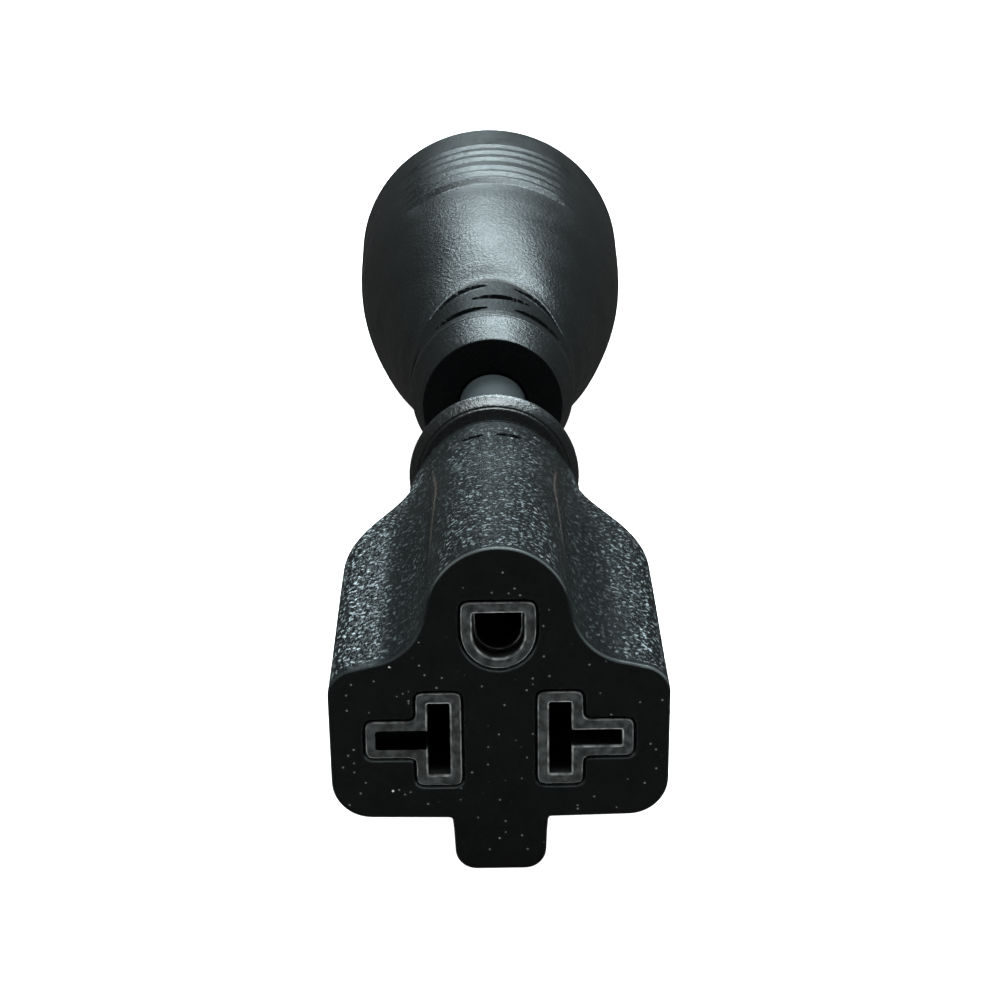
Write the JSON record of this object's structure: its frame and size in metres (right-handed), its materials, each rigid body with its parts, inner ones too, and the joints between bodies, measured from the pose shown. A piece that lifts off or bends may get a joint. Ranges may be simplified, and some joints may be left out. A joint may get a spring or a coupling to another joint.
{
  "type": "power adapter dogbone",
  "caption": "Molded dogbone power adapter: a T-slot female cord connector and a round travel-trailer plug joined by a short stiff round cable.",
  "frame": {"origin": "below the middle of the object's length, on the cable axis's vertical plane, level with the lowest point of the round plug", "axes": "+Y from the connector towards the plug blades, +Z towards the ground contact and ground pin, -Y out of the connector's face"},
  "size_m": [0.0478, 0.225, 0.0478],
  "materials": {
    "black_pvc": "fine grained flexible PVC",
    "core_plastic": "smooth matte thermoplastic",
    "inner_mould_pvc": "plain moulded PVC, hidden",
    "jacket_pvc": "satin PVC cable jacket",
    "wire_black": "smooth wire insulation",
    "wire_white": "smooth wire insulation",
    "wire_green": "smooth wire insulation",
    "filler": "twisted paper filler",
    "copper": "stranded copper drawn as one round core",
    "brass": "bright stamped brass"
  },
  "bodies": {
    "connector_end": {"connector_overmold": "black_pvc", "connector_core": "core_plastic", "connector_core_cover": "core_plastic", "contact_hot": "brass", "contact_neutral": "brass", "contact_ground": "brass", "connector_inner_mould": "inner_mould_pvc"},
    "cable": {"cable_jacket": "jacket_pvc", "insulation_black": "wire_black", "insulation_white": "wire_white", "insulation_green": "wire_green", "conductor_hot": "copper", "conductor_neutral": "copper", "conductor_ground": "copper", "cable_filler_1": "filler", "cable_filler_2": "filler", "cable_filler_3": "filler"},
    "plug_end": {"plug_overmold": "black_pvc", "plug_face_insert": "core_plastic", "plug_inner_mould": "inner_mould_pvc", "blade_hot": "brass", "blade_neutral": "brass", "ground_pin": "brass"}
  },
  "joints": [
    {"name": "cable_bend_up_down", "type": "hinge", "parent": "connector_end", "child": "cable", "pos_m": [0, -0.02725, 0.0239], "axis": [1, 0, 0], "range_deg": [-20, 20], "stiffness_Nm_per_rad": 1, "deforming": ["cable_jacket", "insulation_black", "insulation_white", "insulation_green", "conductor_hot", "conductor_neutral", "conductor_ground", "cable_filler_1", "cable_filler_2", "cable_filler_3"]},
    {"name": "cable_bend_sideways", "type": "hinge", "parent": "cable", "child": "plug_end", "pos_m": [0, -0.01275, 0.0239], "axis": [0, 0, 1], "range_deg": [-20, 20], "stiffness_Nm_per_rad": 1, "deforming": ["cable_jacket", "insulation_black", "insulation_white", "insulation_green", "conductor_hot", "conductor_neutral", "conductor_ground", "cable_filler_1", "cable_filler_2", "cable_filler_3"]}
  ]
}
